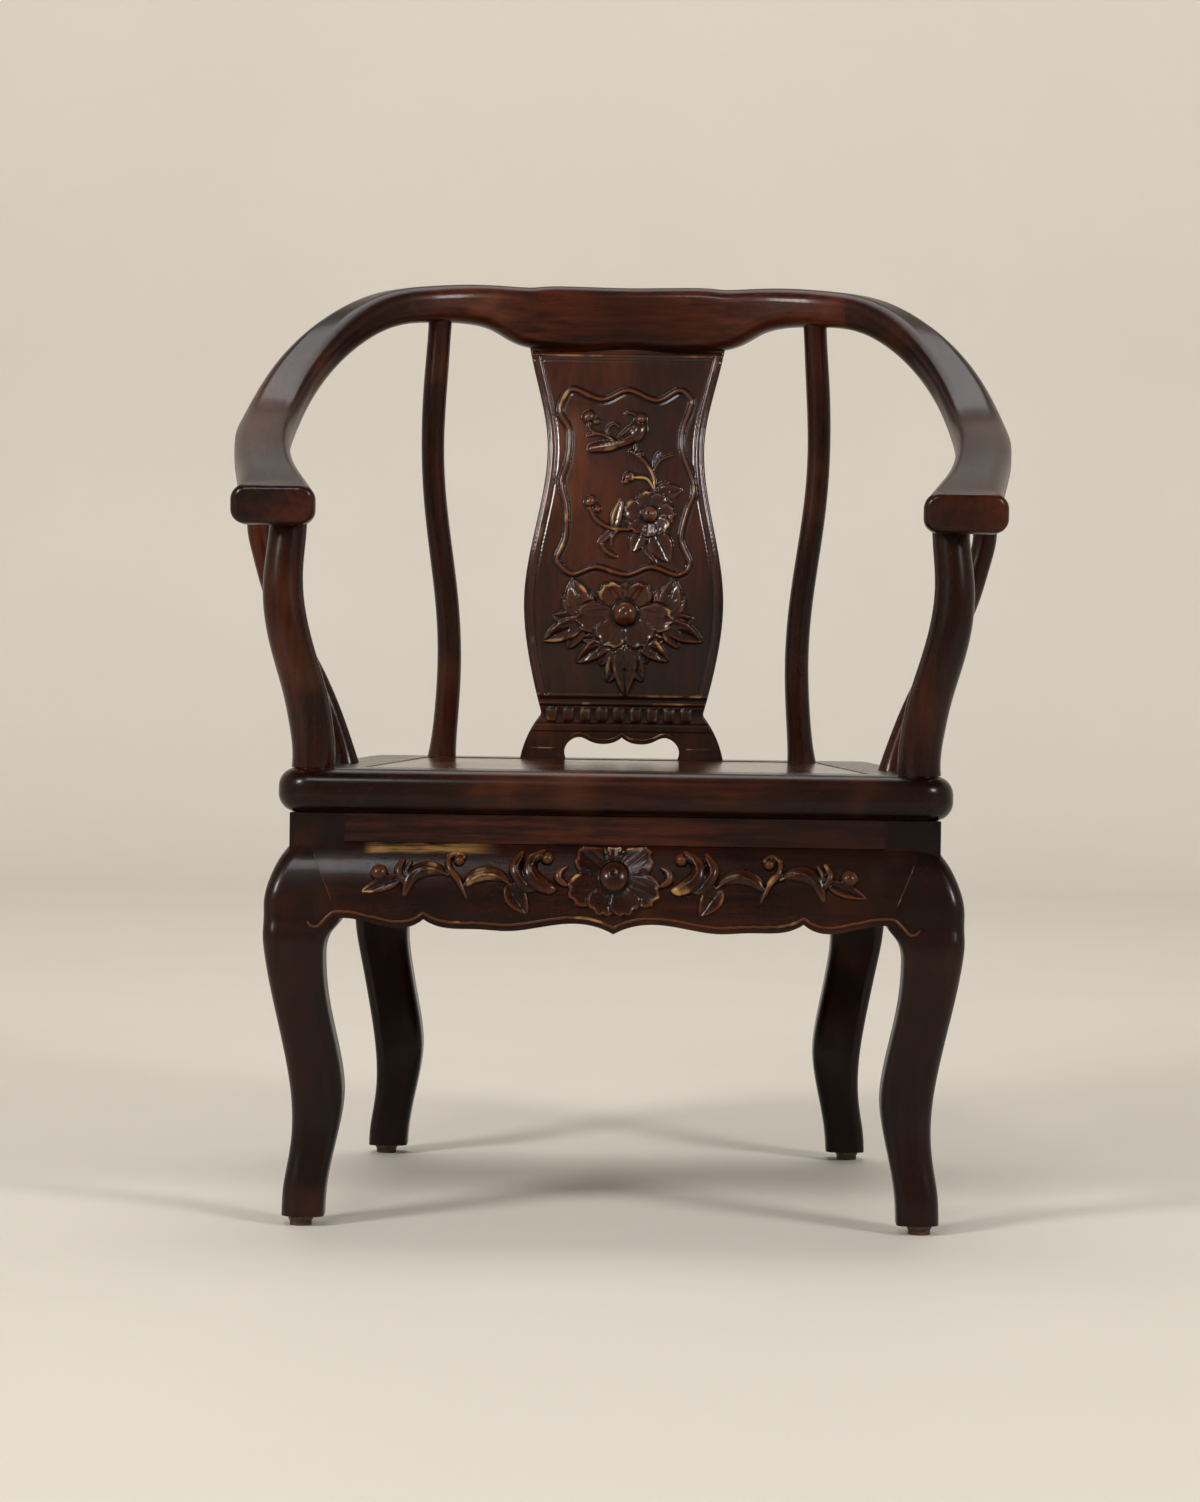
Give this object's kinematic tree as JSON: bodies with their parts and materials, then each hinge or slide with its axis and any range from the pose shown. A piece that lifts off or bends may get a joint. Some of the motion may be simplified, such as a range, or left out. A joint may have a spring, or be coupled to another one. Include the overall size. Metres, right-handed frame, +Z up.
{
  "type": "horseshoe back armchair",
  "caption": "Low Chinese style rosewood armchair with a horseshoe rail, carved splat and aprons, floating seat panel and cabriole legs.",
  "frame": {"origin": "on the floor, under the middle of the chair's bounding box", "axes": "+Z up, the front of the chair faces -Y, +X is to the right as seen from the front"},
  "size_m": [0.6442, 0.495, 0.776],
  "materials": {
    "rosewood": "dark red-brown lacquer, glossy",
    "carved_rosewood": "carved dark red-brown wood, lacquered, tan where the high edges are rubbed",
    "polished_panel": "very glossy lacquer",
    "glide_steel": "dark plated steel",
    "glide_pad": "tan plastic, scuffed"
  },
  "bodies": {
    "root": {"back_apron": "carved_rosewood", "back_left_leg": "rosewood", "back_right_leg": "rosewood", "back_seat_rail": "rosewood", "back_splat": "carved_rosewood", "back_waist": "rosewood", "crest_rail": "rosewood", "front_apron": "carved_rosewood", "front_left_leg": "rosewood", "front_right_leg": "rosewood", "front_seat_rail": "rosewood", "front_waist": "rosewood", "glide_cups": "glide_steel", "glide_pads": "glide_pad", "left_apron": "carved_rosewood", "left_arm_rail": "rosewood", "left_back_post": "rosewood", "left_front_post": "rosewood", "left_seat_rail": "rosewood", "left_side_post": "rosewood", "left_waist": "rosewood", "right_apron": "carved_rosewood", "right_arm_rail": "rosewood", "right_back_post": "rosewood", "right_front_post": "rosewood", "right_seat_rail": "rosewood", "right_side_post": "rosewood", "right_waist": "rosewood", "scarf_pins": "rosewood", "seat_batten": "rosewood", "seat_panel": "polished_panel"}
  },
  "joints": []
}
